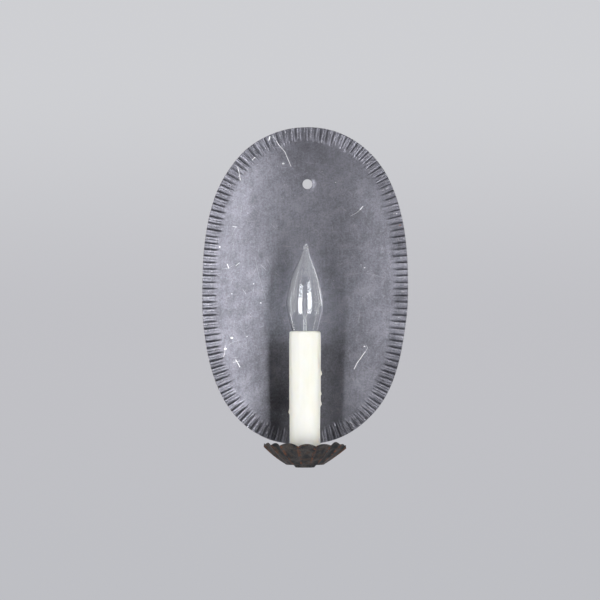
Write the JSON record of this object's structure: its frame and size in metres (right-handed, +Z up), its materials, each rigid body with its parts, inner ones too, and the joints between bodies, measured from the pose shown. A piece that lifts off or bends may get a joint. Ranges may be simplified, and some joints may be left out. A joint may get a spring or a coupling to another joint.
{
  "type": "electric candle wall sconce",
  "caption": "Oval tin wall plate with a crimped rim, a folded arm, a fluted drip pan and an electric candle with a screw-in flame bulb.",
  "frame": {"origin": "middle of the oval plate's flat rear face, on the wall plane", "axes": "+Z up along the plate's long axis, +Y into the wall, -Y out to the room, +X to the right of someone facing the sconce"},
  "size_m": [0.181, 0.1016, 0.2976],
  "materials": {
    "tinned_sheet": "dull scratched tin plate",
    "dark_tin": "dark patinated tin, rust brown where rubbed",
    "plated_steel": "dull zinc plate",
    "fibre": "matt",
    "phenolic": "satin moulded",
    "brass": "plain drawn brass",
    "black_lead": "extruded insulation",
    "white_lead": "extruded insulation",
    "ivory_plastic": "satin ivory candle cover with drips",
    "clear_glass": "clear, polished",
    "tungsten": "coiled wire",
    "vitrite": "black glass",
    "solder": "dull solder"
  },
  "bodies": {
    "root": {"back_plate": "tinned_sheet", "arm": "dark_tin", "arm_rivet_left": "plated_steel", "arm_rivet_right": "plated_steel", "arm_bushing": "fibre", "drip_pan": "dark_tin", "pan_bushing": "fibre", "socket_leg": "plated_steel", "leg_rivet_left": "plated_steel", "leg_rivet_right": "plated_steel", "leg_screw": "plated_steel", "socket_body": "phenolic", "socket_shell": "brass", "shell_rivet": "brass", "center_contact": "brass", "contact_rivet": "brass", "hot_lead": "black_lead", "neutral_lead": "white_lead"},
    "sleeve": {"candle_sleeve": "ivory_plastic"},
    "bulb_contact": {"base_contact": "solder"},
    "bulb": {"bulb_glass": "clear_glass", "bulb_stem": "clear_glass", "bulb_wire_left": "plated_steel", "bulb_wire_right": "plated_steel", "filament": "tungsten", "filament_support": "plated_steel", "bulb_base": "brass", "base_insulator": "vitrite"}
  },
  "joints": [
    {"name": "sleeve_turn", "type": "hinge", "parent": "root", "child": "sleeve", "pos_m": [0, -0.066, -0.1], "axis": [0, 0, 1], "continuous": true},
    {"name": "bulb_rise", "type": "slide", "parent": "root", "child": "bulb_contact", "axis": [0, 0, 1], "range_m": [0, 0.0102]},
    {"name": "bulb_turn", "type": "hinge", "parent": "bulb_contact", "child": "bulb", "pos_m": [0, -0.066, -0.0614], "axis": [0, 0, 1], "range_deg": [0, 1440]}
  ],
  "couplings": [
    {"joint": "bulb_rise", "follows": "bulb_turn", "m_per_rad": 0.00040425}
  ]
}
